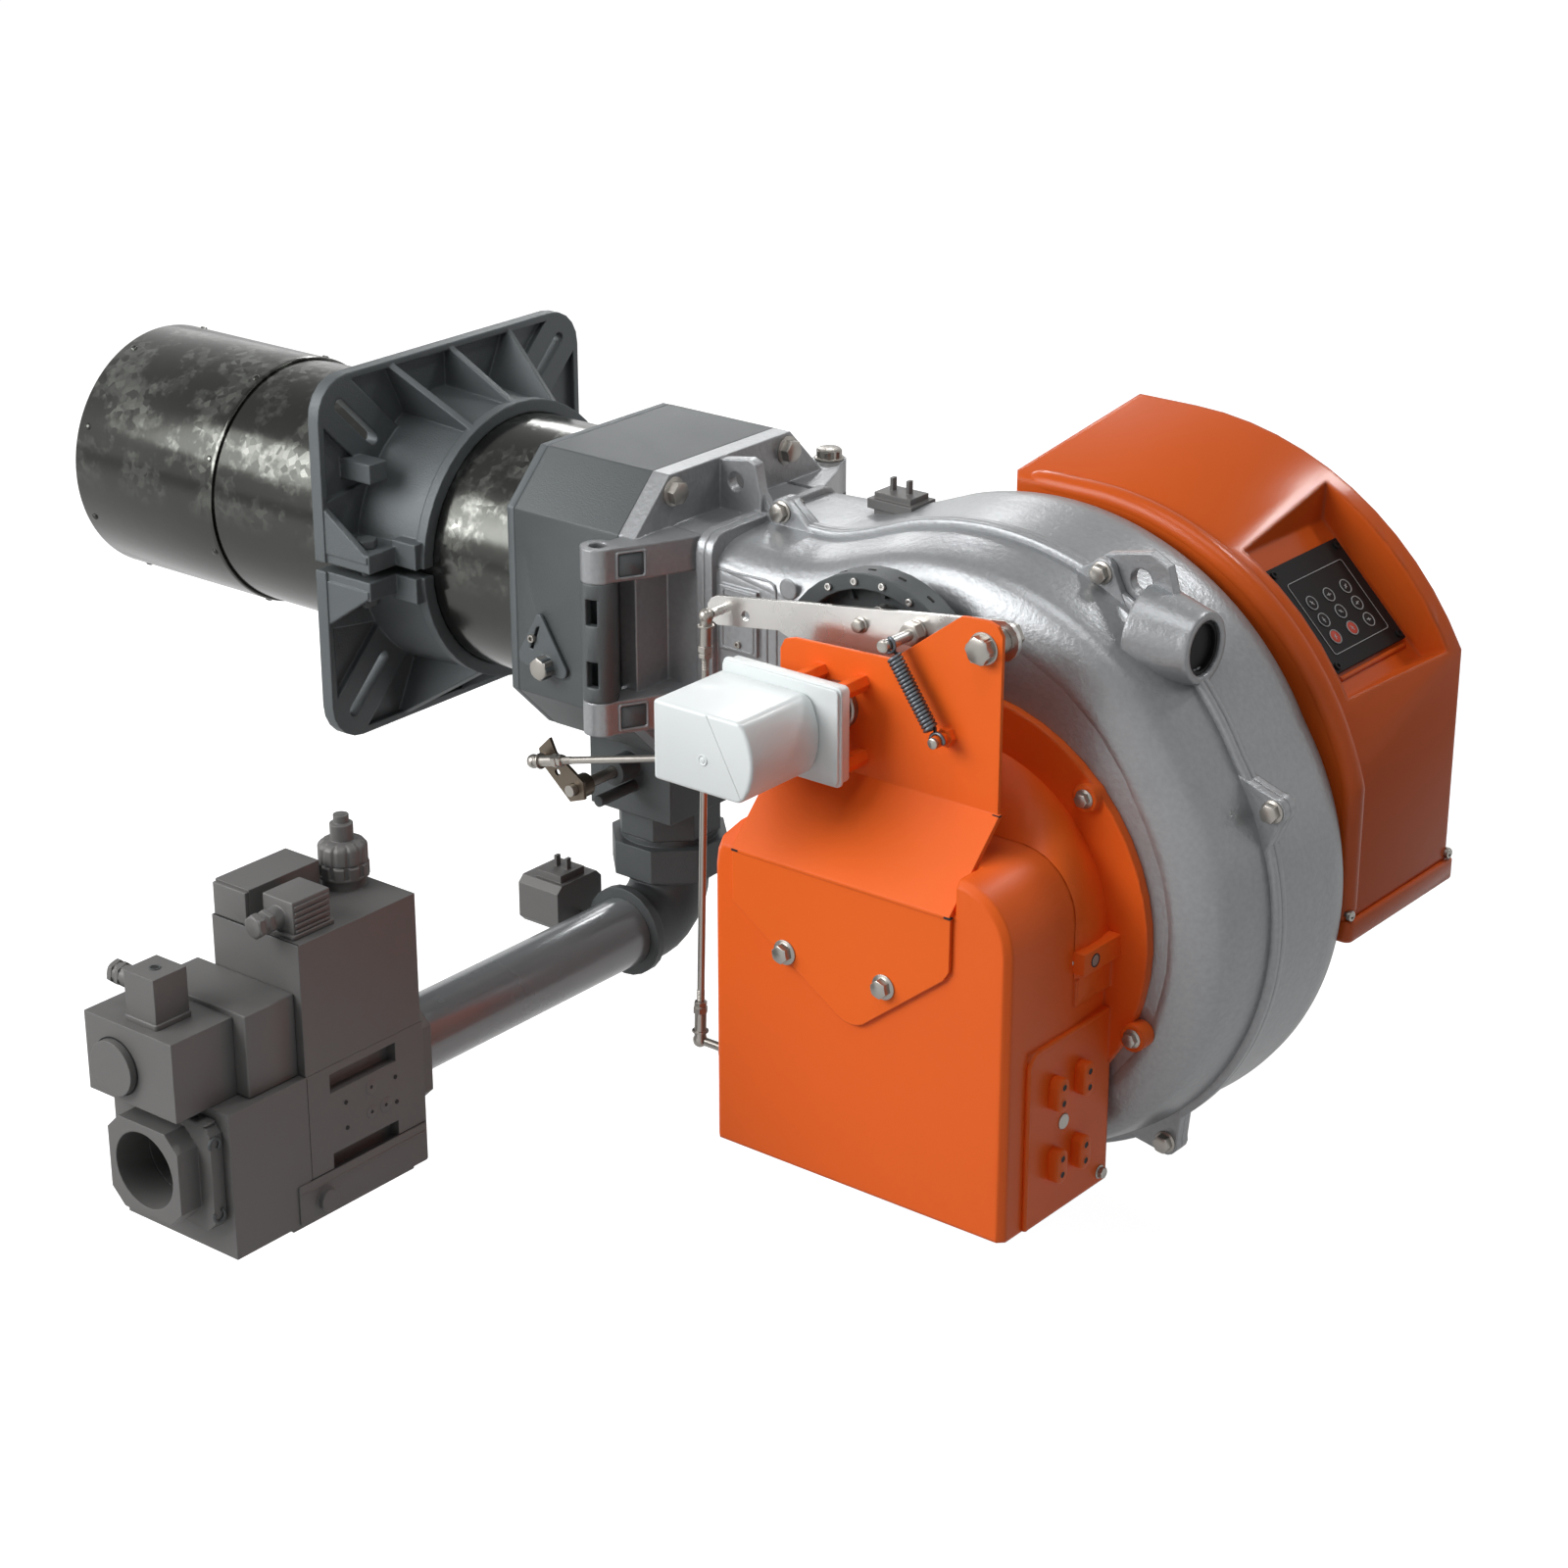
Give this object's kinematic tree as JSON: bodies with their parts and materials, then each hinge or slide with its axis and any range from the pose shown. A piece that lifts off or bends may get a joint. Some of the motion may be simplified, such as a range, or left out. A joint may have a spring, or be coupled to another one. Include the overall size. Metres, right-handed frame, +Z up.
{
  "type": "gas burner",
  "caption": "Forced-draught gas burner: split flange and blast tube, hinged fan scroll, cam and servo air control, motor hood and gas valve train.",
  "frame": {"origin": "where the blast tube's axis meets the boiler face of the mounting flange", "axes": "+X from the boiler towards the fan along the tube axis, +Z up, -Y towards the servo and the air box"},
  "size_m": [1.2183, 0.864, 0.5483],
  "materials": {
    "cast_grey": "cast, matt grey paint",
    "cast_dark": "dark grey cast housing",
    "cast_light": "light grey metallic paint with a fine orange-peel grain",
    "tube_steel": "heat-resistant sheet steel",
    "bright_steel": "bright rolled sheet",
    "zinc": "zinc plated",
    "pipe_grey": "smooth grey paint",
    "valve_dark": "dark anodised die casting",
    "orange": "orange powder coat",
    "orange_gloss": "glossy dark orange moulding",
    "servo_white": "off-white moulding",
    "black_plastic": "black moulding",
    "ceramic": "glazed ceramic",
    "spring_dark": "dark oiled spring steel"
  },
  "bodies": {
    "flange": {"flange_upper": "cast_grey", "flange_lower": "cast_grey", "clamp_bolt_near": "zinc", "clamp_bolt_far": "zinc"},
    "head": {"blast_tube": "tube_steel", "blast_sleeve": "tube_steel", "casing_front_plate": "bright_steel", "head_casing": "cast_grey", "hinge_pin": "zinc", "gas_distributor": "tube_steel", "ignition_electrode": "ceramic", "ionisation_probe": "ceramic", "butterfly_valve_body": "cast_dark", "union_top": "cast_dark", "union_nut": "cast_dark", "gas_elbow": "cast_dark", "gas_pipe": "pipe_grey", "gas_pressure_switch": "valve_dark", "valve_outlet_flange": "valve_dark", "valve_body": "valve_dark", "valve_inlet_flange": "valve_dark", "valve_solenoid_block": "valve_dark", "valve_regulator_block": "valve_dark", "valve_front_switch": "valve_dark", "valve_top_connector": "valve_dark", "valve_bottom_plug": "zinc"},
    "head_adjuster": {"head_adjust_plate": "zinc"},
    "diffuser": {"diffuser_disc": "tube_steel"},
    "brake_cap": {"hydraulic_brake_cap": "valve_dark"},
    "gas_throttle": {"butterfly_disc": "zinc", "gas_lever": "zinc"},
    "fan_body": {"scroll_rear": "cast_light", "scroll_front": "cast_light", "spout_plug": "black_plastic", "air_box": "orange", "servo_bracket": "orange", "lever_pivot_bolt": "zinc", "servo_base": "servo_white", "servo_cover": "servo_white", "lever_spring": "spring_dark", "motor_body": "cast_dark", "motor_end_cover": "black_plastic", "control_hood": "orange_gloss", "control_base": "orange_gloss", "control_panel": "black_plastic", "air_pressure_switch": "valve_dark"},
    "fan_rotor": {"fan_wheel": "zinc", "motor_shaft": "bright_steel"},
    "servo_drive": {"servo_shaft": "zinc", "cam_disc": "cast_dark", "gas_crank": "zinc"},
    "air_lever_arm": {"air_lever": "bright_steel"},
    "air_link": {"air_rod": "zinc"},
    "damper": {"damper_shaft": "zinc", "damper_blade": "zinc"},
    "gas_link": {"gas_rod": "zinc"}
  },
  "joints": [
    {"name": "tube_slide", "type": "slide", "parent": "flange", "child": "head", "axis": [1, 0, 0], "range_m": [-0.06, 0.06]},
    {"name": "body_swing", "type": "hinge", "parent": "head", "child": "fan_body", "pos_m": [0.3065, 0.147, 0], "axis": [0, 0, 1], "range_deg": [0, 85]},
    {"name": "fan_spin", "type": "hinge", "parent": "fan_body", "child": "fan_rotor", "pos_m": [0.62, 0, -0.15], "axis": [0, 1, 0], "continuous": true},
    {"name": "servo_turn", "type": "hinge", "parent": "fan_body", "child": "servo_drive", "pos_m": [0.557, -0.19, 0.01], "axis": [0, -1, 0], "range_deg": [0, 50]},
    {"name": "air_lever_turn", "type": "hinge", "parent": "fan_body", "child": "air_lever_arm", "pos_m": [0.688, -0.142, 0.084], "axis": [0, 1, 0], "range_deg": [0, 4.5], "deforming": ["lever_spring"]},
    {"name": "air_rod_turn", "type": "hinge", "parent": "air_lever_arm", "child": "air_link", "pos_m": [0.427, -0.16, 0.05], "axis": [0, 1, 0], "range_deg": [-5, 0]},
    {"name": "damper_turn", "type": "hinge", "parent": "fan_body", "child": "damper", "pos_m": [0.6185, -0.168, -0.292], "axis": [1, 0, 0], "range_deg": [-90.5, 0]},
    {"name": "gas_rod_turn", "type": "hinge", "parent": "servo_drive", "child": "gas_link", "pos_m": [0.52476, -0.133, -0.04816], "axis": [0, 1, 0], "range_deg": [0, 53.5]},
    {"name": "gas_lever_turn", "type": "hinge", "parent": "head", "child": "gas_throttle", "pos_m": [0.25, 0, -0.152], "axis": [0, 1, 0], "range_deg": [0, 89.5]},
    {"name": "head_adjust", "type": "hinge", "parent": "head", "child": "head_adjuster", "pos_m": [0.2246, -0.119, -0.0495], "axis": [0, 1, 0], "range_deg": [0, 25]},
    {"name": "diffuser_slide", "type": "slide", "parent": "head", "child": "diffuser", "axis": [1, 0, 0], "range_m": [0, 0.0185]},
    {"name": "brake_cap_turn", "type": "hinge", "parent": "head", "child": "brake_cap", "pos_m": [0.255, -0.388, -0.1415], "axis": [0, 0, 1], "range_deg": [0, 180]}
  ],
  "couplings": [
    {"joint": "air_lever_turn", "follows": "servo_turn", "ratio": 0.08746},
    {"joint": "air_rod_turn", "follows": "servo_turn", "ratio": -0.093424},
    {"joint": "damper_turn", "follows": "servo_turn", "ratio": -1.8},
    {"joint": "gas_rod_turn", "follows": "servo_turn", "ratio": 1.057},
    {"joint": "gas_lever_turn", "follows": "servo_turn", "ratio": 1.7763},
    {"joint": "head_adjust", "follows": "diffuser_slide", "rad_per_m": 22.642}
  ]
}
